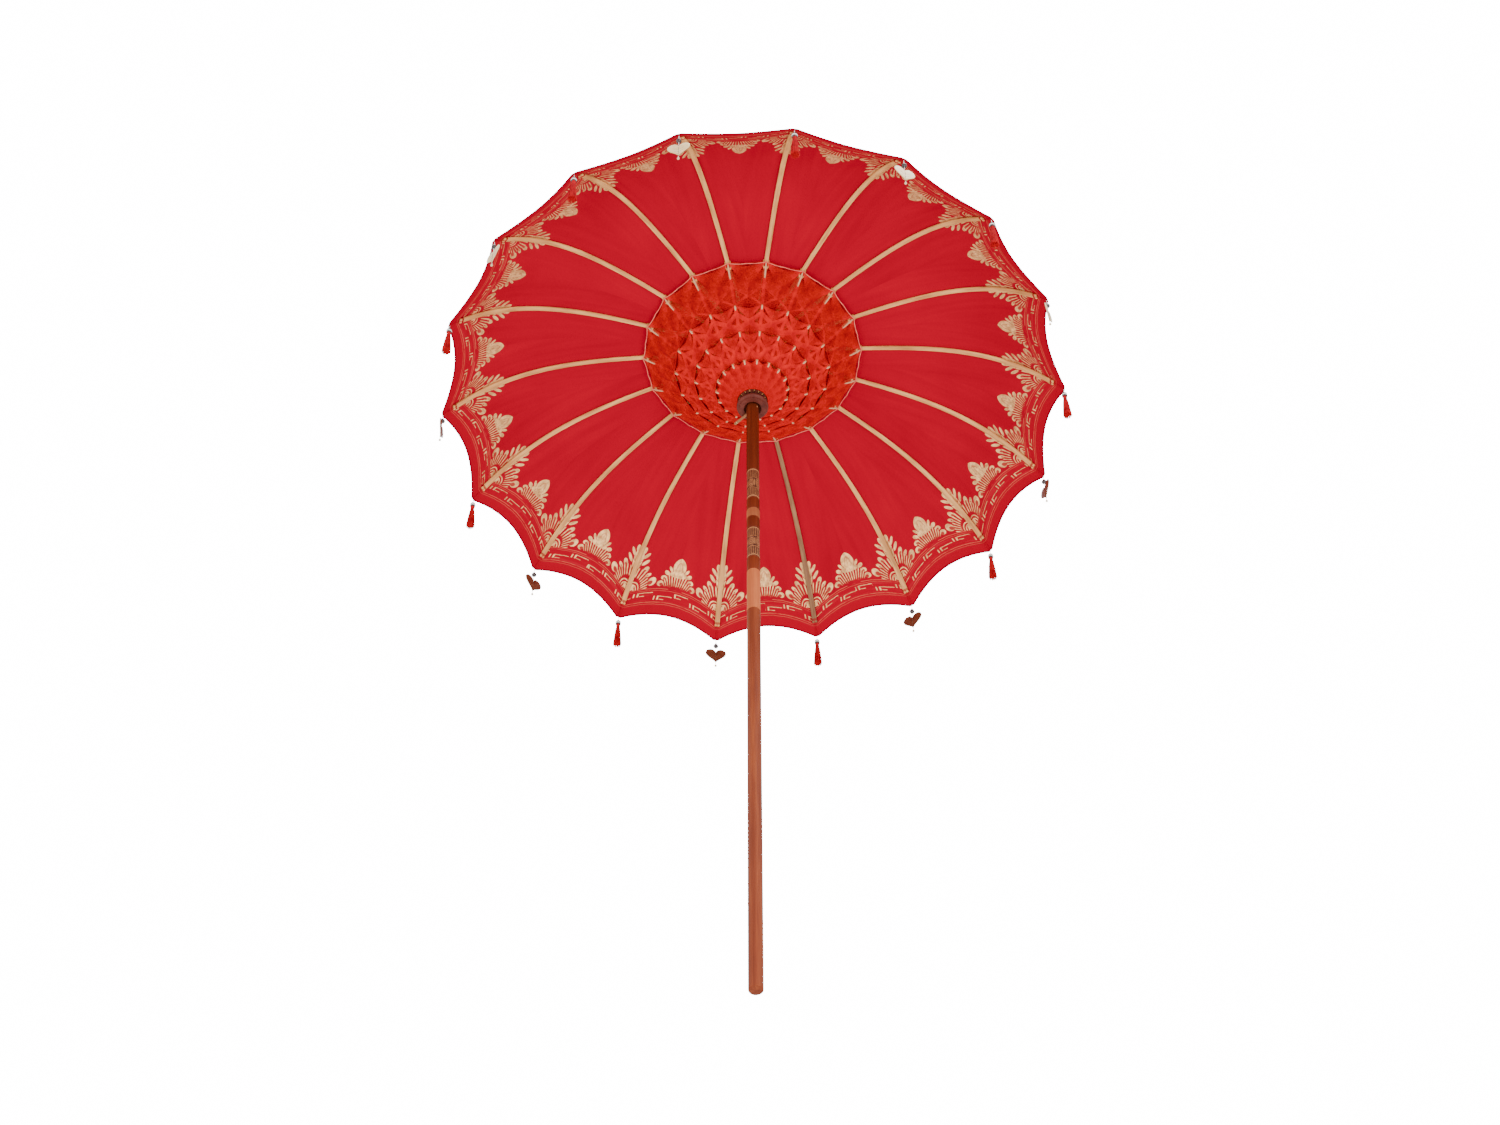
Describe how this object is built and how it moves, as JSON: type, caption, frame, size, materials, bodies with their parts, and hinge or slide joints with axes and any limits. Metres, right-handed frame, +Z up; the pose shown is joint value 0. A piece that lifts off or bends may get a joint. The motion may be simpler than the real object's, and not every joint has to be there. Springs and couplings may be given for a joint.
{
  "type": "parasol",
  "caption": "Round garden parasol: bamboo ribs and stretchers open a scalloped cotton canopy on a two-piece wooden pole, with a sliding runner, a locking peg and hanging pendants",
  "frame": {"origin": "centre of the pole's foot, on the surface that the foot stands on", "axes": "+Z up along the pole; rib 01 points along azimuth -102.1 degrees from +X towards -Y, and the ribs go on every 20 degrees anticlockwise seen from above"},
  "size_m": [1.9213, 1.9042, 2.8],
  "materials": {
    "lower_pole_wood": "satin varnish",
    "upper_pole_wood": "gloss varnish",
    "turned_wood": "gloss varnish",
    "peg_wood": "bare",
    "bamboo": "satin",
    "canopy_cotton": "dyed cotton with gold border",
    "thread": "wound cotton thread",
    "heart_shell": "polished",
    "tassel_yarn": "twisted yarn"
  },
  "bodies": {
    "pole_lower": {"pole_lower": "lower_pole_wood"},
    "pole_upper": {"pole_upper": "upper_pole_wood", "crown": "turned_wood", "canopy": "canopy_cotton"},
    "runner": {"runner": "turned_wood"},
    "locking_peg": {"locking_peg": "peg_wood"},
    "rib_01": {"rib_01": "bamboo"},
    "stretcher_01": {"stretcher_01": "bamboo"},
    "heart_pendant_01": {"heart_pendant_01": "heart_shell"},
    "rib_02": {"rib_02": "bamboo"},
    "stretcher_02": {"stretcher_02": "bamboo"},
    "tassel_02": {"tassel_02": "tassel_yarn"},
    "rib_03": {"rib_03": "bamboo"},
    "stretcher_03": {"stretcher_03": "bamboo"},
    "heart_pendant_03": {"heart_pendant_03": "heart_shell"},
    "rib_04": {"rib_04": "bamboo"},
    "stretcher_04": {"stretcher_04": "bamboo"},
    "tassel_04": {"tassel_04": "tassel_yarn"},
    "rib_05": {"rib_05": "bamboo"},
    "stretcher_05": {"stretcher_05": "bamboo"},
    "heart_pendant_05": {"heart_pendant_05": "heart_shell"},
    "rib_06": {"rib_06": "bamboo"},
    "stretcher_06": {"stretcher_06": "bamboo"},
    "tassel_06": {"tassel_06": "tassel_yarn"},
    "rib_07": {"rib_07": "bamboo"},
    "stretcher_07": {"stretcher_07": "bamboo"},
    "heart_pendant_07": {"heart_pendant_07": "heart_shell"},
    "rib_08": {"rib_08": "bamboo"},
    "stretcher_08": {"stretcher_08": "bamboo"},
    "tassel_08": {"tassel_08": "tassel_yarn"},
    "rib_09": {"rib_09": "bamboo"},
    "stretcher_09": {"stretcher_09": "bamboo"},
    "heart_pendant_09": {"heart_pendant_09": "heart_shell"},
    "rib_10": {"rib_10": "bamboo"},
    "stretcher_10": {"stretcher_10": "bamboo"},
    "tassel_10": {"tassel_10": "tassel_yarn"},
    "rib_11": {"rib_11": "bamboo"},
    "stretcher_11": {"stretcher_11": "bamboo"},
    "heart_pendant_11": {"heart_pendant_11": "heart_shell"},
    "rib_12": {"rib_12": "bamboo"},
    "stretcher_12": {"stretcher_12": "bamboo"},
    "tassel_12": {"tassel_12": "tassel_yarn"},
    "rib_13": {"rib_13": "bamboo"},
    "stretcher_13": {"stretcher_13": "bamboo"},
    "heart_pendant_13": {"heart_pendant_13": "heart_shell"},
    "rib_14": {"rib_14": "bamboo"},
    "stretcher_14": {"stretcher_14": "bamboo"},
    "tassel_14": {"tassel_14": "tassel_yarn"},
    "rib_15": {"rib_15": "bamboo"},
    "stretcher_15": {"stretcher_15": "bamboo"},
    "heart_pendant_15": {"heart_pendant_15": "heart_shell"},
    "rib_16": {"rib_16": "bamboo"},
    "stretcher_16": {"stretcher_16": "bamboo"},
    "tassel_16": {"tassel_16": "tassel_yarn"},
    "rib_17": {"rib_17": "bamboo"},
    "stretcher_17": {"stretcher_17": "bamboo"},
    "heart_pendant_17": {"heart_pendant_17": "heart_shell"},
    "rib_18": {"rib_18": "bamboo"},
    "stretcher_18": {"stretcher_18": "bamboo"},
    "tassel_18": {"tassel_18": "tassel_yarn"}
  },
  "joints": [
    {"name": "pole_split", "type": "slide", "parent": "pole_lower", "child": "pole_upper", "axis": [0, 0, 1], "range_m": [0, 0.095]},
    {"name": "runner_slide", "type": "slide", "parent": "pole_upper", "child": "runner", "axis": [0, 0, 1], "range_m": [-0.39452, 0], "deforming": ["canopy", "locking_peg"]},
    {"name": "peg_pull", "type": "slide", "parent": "pole_upper", "child": "locking_peg", "axis": [-0.7314, 0.682, 0], "range_m": [0, 0.075]},
    {"name": "rib_hinge_01", "type": "hinge", "parent": "pole_upper", "child": "rib_01", "pos_m": [-0.00755, -0.0352, 2.7236], "axis": [0.9778, -0.2096, 0], "range_deg": [0, 66.1]},
    {"name": "stretcher_pin_01", "type": "hinge", "parent": "rib_01", "child": "stretcher_01", "pos_m": [-0.07127, -0.33245, 2.72141], "axis": [0.9778, -0.2096, 0], "range_deg": [-97.68, 0]},
    {"name": "pendant_swing_01", "type": "hinge", "parent": "rib_01", "child": "heart_pendant_01", "pos_m": [-0.19914, -0.92889, 2.45], "axis": [0.9778, -0.2096, 0], "range_deg": [-66.1, 0]},
    {"name": "rib_hinge_02", "type": "hinge", "parent": "pole_upper", "child": "rib_02", "pos_m": [0.00495, -0.03566, 2.7236], "axis": [0.9905, 0.1374, 0], "range_deg": [0, 66.1]},
    {"name": "stretcher_pin_02", "type": "hinge", "parent": "rib_02", "child": "stretcher_02", "pos_m": [0.04673, -0.33677, 2.72141], "axis": [0.9905, 0.1374, 0], "range_deg": [-97.68, 0]},
    {"name": "pendant_swing_02", "type": "hinge", "parent": "rib_02", "child": "tassel_02", "pos_m": [0.13057, -0.94098, 2.45], "axis": [0.9905, 0.1374, 0], "range_deg": [-66.1, 0]},
    {"name": "rib_hinge_03", "type": "hinge", "parent": "pole_upper", "child": "rib_03", "pos_m": [0.01684, -0.03182, 2.7236], "axis": [0.8838, 0.4679, 0], "range_deg": [0, 66.1]},
    {"name": "stretcher_pin_03", "type": "hinge", "parent": "rib_03", "child": "stretcher_03", "pos_m": [0.1591, -0.30048, 2.72141], "axis": [0.8838, 0.4679, 0], "range_deg": [-97.68, 0]},
    {"name": "pendant_swing_03", "type": "hinge", "parent": "rib_03", "child": "heart_pendant_03", "pos_m": [0.44453, -0.83958, 2.45], "axis": [0.8838, 0.4679, 0], "range_deg": [-66.1, 0]},
    {"name": "rib_hinge_04", "type": "hinge", "parent": "pole_upper", "child": "rib_04", "pos_m": [0.02671, -0.02414, 2.7236], "axis": [0.6704, 0.742, 0], "range_deg": [0, 66.1]},
    {"name": "stretcher_pin_04", "type": "hinge", "parent": "rib_04", "child": "stretcher_04", "pos_m": [0.25227, -0.22795, 2.72141], "axis": [0.6704, 0.742, 0], "range_deg": [-97.68, 0]},
    {"name": "pendant_swing_04", "type": "hinge", "parent": "rib_04", "child": "tassel_04", "pos_m": [0.70488, -0.63691, 2.45], "axis": [0.6704, 0.742, 0], "range_deg": [-66.1, 0]},
    {"name": "rib_hinge_05", "type": "hinge", "parent": "pole_upper", "child": "rib_05", "pos_m": [0.03336, -0.01354, 2.7236], "axis": [0.3762, 0.9265, 0], "range_deg": [0, 66.1]},
    {"name": "stretcher_pin_05", "type": "hinge", "parent": "rib_05", "child": "stretcher_05", "pos_m": [0.31502, -0.12792, 2.72141], "axis": [0.3762, 0.9265, 0], "range_deg": [-97.68, 0]},
    {"name": "pendant_swing_05", "type": "hinge", "parent": "rib_05", "child": "heart_pendant_05", "pos_m": [0.8802, -0.35741, 2.45], "axis": [0.3762, 0.9265, 0], "range_deg": [-66.1, 0]},
    {"name": "rib_hinge_06", "type": "hinge", "parent": "pole_upper", "child": "rib_06", "pos_m": [0.03598, -0.00132, 2.7236], "axis": [0.0366, 0.9993, 0], "range_deg": [0, 66.1]},
    {"name": "stretcher_pin_06", "type": "hinge", "parent": "rib_06", "child": "stretcher_06", "pos_m": [0.33977, -0.01246, 2.72141], "axis": [0.0366, 0.9993, 0], "range_deg": [-97.68, 0]},
    {"name": "pendant_swing_06", "type": "hinge", "parent": "rib_06", "child": "tassel_06", "pos_m": [0.94936, -0.03481, 2.45], "axis": [0.0366, 0.9993, 0], "range_deg": [-66.1, 0]},
    {"name": "rib_hinge_07", "type": "hinge", "parent": "pole_upper", "child": "rib_07", "pos_m": [0.03426, 0.01107, 2.7236], "axis": [-0.3074, 0.9516, 0], "range_deg": [0, 66.1]},
    {"name": "stretcher_pin_07", "type": "hinge", "parent": "rib_07", "child": "stretcher_07", "pos_m": [0.32354, 0.1045, 2.72141], "axis": [-0.3074, 0.9516, 0], "range_deg": [-97.68, 0]},
    {"name": "pendant_swing_07", "type": "hinge", "parent": "rib_07", "child": "heart_pendant_07", "pos_m": [0.90402, 0.29199, 2.45], "axis": [-0.3074, 0.9516, 0], "range_deg": [-66.1, 0]},
    {"name": "rib_hinge_08", "type": "hinge", "parent": "pole_upper", "child": "rib_08", "pos_m": [0.02841, 0.02211, 2.7236], "axis": [-0.6143, 0.7891, 0], "range_deg": [0, 66.1]},
    {"name": "stretcher_pin_08", "type": "hinge", "parent": "rib_08", "child": "stretcher_08", "pos_m": [0.26829, 0.20886, 2.72141], "axis": [-0.6143, 0.7891, 0], "range_deg": [-97.68, 0]},
    {"name": "pendant_swing_08", "type": "hinge", "parent": "rib_08", "child": "tassel_08", "pos_m": [0.74963, 0.58357, 2.45], "axis": [-0.6143, 0.7891, 0], "range_deg": [-66.1, 0]},
    {"name": "rib_hinge_09", "type": "hinge", "parent": "pole_upper", "child": "rib_09", "pos_m": [0.01913, 0.0305, 2.7236], "axis": [-0.8471, 0.5314, 0], "range_deg": [0, 66.1]},
    {"name": "stretcher_pin_09", "type": "hinge", "parent": "rib_09", "child": "stretcher_09", "pos_m": [0.18068, 0.28802, 2.72141], "axis": [-0.8471, 0.5314, 0], "range_deg": [-97.68, 0]},
    {"name": "pendant_swing_09", "type": "hinge", "parent": "rib_09", "child": "heart_pendant_09", "pos_m": [0.50483, 0.80477, 2.45], "axis": [-0.8471, 0.5314, 0], "range_deg": [-66.1, 0]},
    {"name": "rib_hinge_10", "type": "hinge", "parent": "pole_upper", "child": "rib_10", "pos_m": [0.00755, 0.0352, 2.7236], "axis": [-0.9778, 0.2096, 0], "range_deg": [0, 66.1]},
    {"name": "stretcher_pin_10", "type": "hinge", "parent": "rib_10", "child": "stretcher_10", "pos_m": [0.07127, 0.33245, 2.72141], "axis": [-0.9778, 0.2096, 0], "range_deg": [-97.68, 0]},
    {"name": "pendant_swing_10", "type": "hinge", "parent": "rib_10", "child": "tassel_10", "pos_m": [0.19914, 0.92889, 2.45], "axis": [-0.9778, 0.2096, 0], "range_deg": [-66.1, 0]},
    {"name": "rib_hinge_11", "type": "hinge", "parent": "pole_upper", "child": "rib_11", "pos_m": [-0.00495, 0.03566, 2.7236], "axis": [-0.9905, -0.1374, 0], "range_deg": [0, 66.1]},
    {"name": "stretcher_pin_11", "type": "hinge", "parent": "rib_11", "child": "stretcher_11", "pos_m": [-0.04673, 0.33677, 2.72141], "axis": [-0.9905, -0.1374, 0], "range_deg": [-97.68, 0]},
    {"name": "pendant_swing_11", "type": "hinge", "parent": "rib_11", "child": "heart_pendant_11", "pos_m": [-0.13057, 0.94098, 2.45], "axis": [-0.9905, -0.1374, 0], "range_deg": [-66.1, 0]},
    {"name": "rib_hinge_12", "type": "hinge", "parent": "pole_upper", "child": "rib_12", "pos_m": [-0.01684, 0.03182, 2.7236], "axis": [-0.8838, -0.4679, 0], "range_deg": [0, 66.1]},
    {"name": "stretcher_pin_12", "type": "hinge", "parent": "rib_12", "child": "stretcher_12", "pos_m": [-0.1591, 0.30048, 2.72141], "axis": [-0.8838, -0.4679, 0], "range_deg": [-97.68, 0]},
    {"name": "pendant_swing_12", "type": "hinge", "parent": "rib_12", "child": "tassel_12", "pos_m": [-0.44453, 0.83958, 2.45], "axis": [-0.8838, -0.4679, 0], "range_deg": [-66.1, 0]},
    {"name": "rib_hinge_13", "type": "hinge", "parent": "pole_upper", "child": "rib_13", "pos_m": [-0.02671, 0.02414, 2.7236], "axis": [-0.6704, -0.742, 0], "range_deg": [0, 66.1]},
    {"name": "stretcher_pin_13", "type": "hinge", "parent": "rib_13", "child": "stretcher_13", "pos_m": [-0.25227, 0.22795, 2.72141], "axis": [-0.6704, -0.742, 0], "range_deg": [-97.68, 0]},
    {"name": "pendant_swing_13", "type": "hinge", "parent": "rib_13", "child": "heart_pendant_13", "pos_m": [-0.70488, 0.63691, 2.45], "axis": [-0.6704, -0.742, 0], "range_deg": [-66.1, 0]},
    {"name": "rib_hinge_14", "type": "hinge", "parent": "pole_upper", "child": "rib_14", "pos_m": [-0.03336, 0.01354, 2.7236], "axis": [-0.3762, -0.9265, 0], "range_deg": [0, 66.1]},
    {"name": "stretcher_pin_14", "type": "hinge", "parent": "rib_14", "child": "stretcher_14", "pos_m": [-0.31502, 0.12792, 2.72141], "axis": [-0.3762, -0.9265, 0], "range_deg": [-97.68, 0]},
    {"name": "pendant_swing_14", "type": "hinge", "parent": "rib_14", "child": "tassel_14", "pos_m": [-0.8802, 0.35741, 2.45], "axis": [-0.3762, -0.9265, 0], "range_deg": [-66.1, 0]},
    {"name": "rib_hinge_15", "type": "hinge", "parent": "pole_upper", "child": "rib_15", "pos_m": [-0.03598, 0.00132, 2.7236], "axis": [-0.0366, -0.9993, 0], "range_deg": [0, 66.1]},
    {"name": "stretcher_pin_15", "type": "hinge", "parent": "rib_15", "child": "stretcher_15", "pos_m": [-0.33977, 0.01246, 2.72141], "axis": [-0.0366, -0.9993, 0], "range_deg": [-97.68, 0]},
    {"name": "pendant_swing_15", "type": "hinge", "parent": "rib_15", "child": "heart_pendant_15", "pos_m": [-0.94936, 0.03481, 2.45], "axis": [-0.0366, -0.9993, 0], "range_deg": [-66.1, 0]},
    {"name": "rib_hinge_16", "type": "hinge", "parent": "pole_upper", "child": "rib_16", "pos_m": [-0.03426, -0.01107, 2.7236], "axis": [0.3074, -0.9516, 0], "range_deg": [0, 66.1]},
    {"name": "stretcher_pin_16", "type": "hinge", "parent": "rib_16", "child": "stretcher_16", "pos_m": [-0.32354, -0.1045, 2.72141], "axis": [0.3074, -0.9516, 0], "range_deg": [-97.68, 0]},
    {"name": "pendant_swing_16", "type": "hinge", "parent": "rib_16", "child": "tassel_16", "pos_m": [-0.90402, -0.29199, 2.45], "axis": [0.3074, -0.9516, 0], "range_deg": [-66.1, 0]},
    {"name": "rib_hinge_17", "type": "hinge", "parent": "pole_upper", "child": "rib_17", "pos_m": [-0.02841, -0.02211, 2.7236], "axis": [0.6143, -0.7891, 0], "range_deg": [0, 66.1]},
    {"name": "stretcher_pin_17", "type": "hinge", "parent": "rib_17", "child": "stretcher_17", "pos_m": [-0.26829, -0.20886, 2.72141], "axis": [0.6143, -0.7891, 0], "range_deg": [-97.68, 0]},
    {"name": "pendant_swing_17", "type": "hinge", "parent": "rib_17", "child": "heart_pendant_17", "pos_m": [-0.74963, -0.58357, 2.45], "axis": [0.6143, -0.7891, 0], "range_deg": [-66.1, 0]},
    {"name": "rib_hinge_18", "type": "hinge", "parent": "pole_upper", "child": "rib_18", "pos_m": [-0.01913, -0.0305, 2.7236], "axis": [0.8471, -0.5314, 0], "range_deg": [0, 66.1]},
    {"name": "stretcher_pin_18", "type": "hinge", "parent": "rib_18", "child": "stretcher_18", "pos_m": [-0.18068, -0.28802, 2.72141], "axis": [0.8471, -0.5314, 0], "range_deg": [-97.68, 0]},
    {"name": "pendant_swing_18", "type": "hinge", "parent": "rib_18", "child": "tassel_18", "pos_m": [-0.50483, -0.80477, 2.45], "axis": [0.8471, -0.5314, 0], "range_deg": [-66.1, 0]}
  ],
  "couplings": [
    {"joint": "rib_hinge_01", "follows": "runner_slide", "rad_per_m": -2.9198},
    {"joint": "stretcher_pin_01", "follows": "runner_slide", "rad_per_m": 4.3167},
    {"joint": "pendant_swing_01", "follows": "runner_slide", "rad_per_m": 2.9198},
    {"joint": "rib_hinge_02", "follows": "runner_slide", "rad_per_m": -2.9198},
    {"joint": "stretcher_pin_02", "follows": "runner_slide", "rad_per_m": 4.3167},
    {"joint": "pendant_swing_02", "follows": "runner_slide", "rad_per_m": 2.9198},
    {"joint": "rib_hinge_03", "follows": "runner_slide", "rad_per_m": -2.9198},
    {"joint": "stretcher_pin_03", "follows": "runner_slide", "rad_per_m": 4.3167},
    {"joint": "pendant_swing_03", "follows": "runner_slide", "rad_per_m": 2.9198},
    {"joint": "rib_hinge_04", "follows": "runner_slide", "rad_per_m": -2.9198},
    {"joint": "stretcher_pin_04", "follows": "runner_slide", "rad_per_m": 4.3167},
    {"joint": "pendant_swing_04", "follows": "runner_slide", "rad_per_m": 2.9198},
    {"joint": "rib_hinge_05", "follows": "runner_slide", "rad_per_m": -2.9198},
    {"joint": "stretcher_pin_05", "follows": "runner_slide", "rad_per_m": 4.3167},
    {"joint": "pendant_swing_05", "follows": "runner_slide", "rad_per_m": 2.9198},
    {"joint": "rib_hinge_06", "follows": "runner_slide", "rad_per_m": -2.9198},
    {"joint": "stretcher_pin_06", "follows": "runner_slide", "rad_per_m": 4.3167},
    {"joint": "pendant_swing_06", "follows": "runner_slide", "rad_per_m": 2.9198},
    {"joint": "rib_hinge_07", "follows": "runner_slide", "rad_per_m": -2.9198},
    {"joint": "stretcher_pin_07", "follows": "runner_slide", "rad_per_m": 4.3167},
    {"joint": "pendant_swing_07", "follows": "runner_slide", "rad_per_m": 2.9198},
    {"joint": "rib_hinge_08", "follows": "runner_slide", "rad_per_m": -2.9198},
    {"joint": "stretcher_pin_08", "follows": "runner_slide", "rad_per_m": 4.3167},
    {"joint": "pendant_swing_08", "follows": "runner_slide", "rad_per_m": 2.9198},
    {"joint": "rib_hinge_09", "follows": "runner_slide", "rad_per_m": -2.9198},
    {"joint": "stretcher_pin_09", "follows": "runner_slide", "rad_per_m": 4.3167},
    {"joint": "pendant_swing_09", "follows": "runner_slide", "rad_per_m": 2.9198},
    {"joint": "rib_hinge_10", "follows": "runner_slide", "rad_per_m": -2.9198},
    {"joint": "stretcher_pin_10", "follows": "runner_slide", "rad_per_m": 4.3167},
    {"joint": "pendant_swing_10", "follows": "runner_slide", "rad_per_m": 2.9198},
    {"joint": "rib_hinge_11", "follows": "runner_slide", "rad_per_m": -2.9198},
    {"joint": "stretcher_pin_11", "follows": "runner_slide", "rad_per_m": 4.3167},
    {"joint": "pendant_swing_11", "follows": "runner_slide", "rad_per_m": 2.9198},
    {"joint": "rib_hinge_12", "follows": "runner_slide", "rad_per_m": -2.9198},
    {"joint": "stretcher_pin_12", "follows": "runner_slide", "rad_per_m": 4.3167},
    {"joint": "pendant_swing_12", "follows": "runner_slide", "rad_per_m": 2.9198},
    {"joint": "rib_hinge_13", "follows": "runner_slide", "rad_per_m": -2.9198},
    {"joint": "stretcher_pin_13", "follows": "runner_slide", "rad_per_m": 4.3167},
    {"joint": "pendant_swing_13", "follows": "runner_slide", "rad_per_m": 2.9198},
    {"joint": "rib_hinge_14", "follows": "runner_slide", "rad_per_m": -2.9198},
    {"joint": "stretcher_pin_14", "follows": "runner_slide", "rad_per_m": 4.3167},
    {"joint": "pendant_swing_14", "follows": "runner_slide", "rad_per_m": 2.9198},
    {"joint": "rib_hinge_15", "follows": "runner_slide", "rad_per_m": -2.9198},
    {"joint": "stretcher_pin_15", "follows": "runner_slide", "rad_per_m": 4.3167},
    {"joint": "pendant_swing_15", "follows": "runner_slide", "rad_per_m": 2.9198},
    {"joint": "rib_hinge_16", "follows": "runner_slide", "rad_per_m": -2.9198},
    {"joint": "stretcher_pin_16", "follows": "runner_slide", "rad_per_m": 4.3167},
    {"joint": "pendant_swing_16", "follows": "runner_slide", "rad_per_m": 2.9198},
    {"joint": "rib_hinge_17", "follows": "runner_slide", "rad_per_m": -2.9198},
    {"joint": "stretcher_pin_17", "follows": "runner_slide", "rad_per_m": 4.3167},
    {"joint": "pendant_swing_17", "follows": "runner_slide", "rad_per_m": 2.9198},
    {"joint": "rib_hinge_18", "follows": "runner_slide", "rad_per_m": -2.9198},
    {"joint": "stretcher_pin_18", "follows": "runner_slide", "rad_per_m": 4.3167},
    {"joint": "pendant_swing_18", "follows": "runner_slide", "rad_per_m": 2.9198}
  ]
}
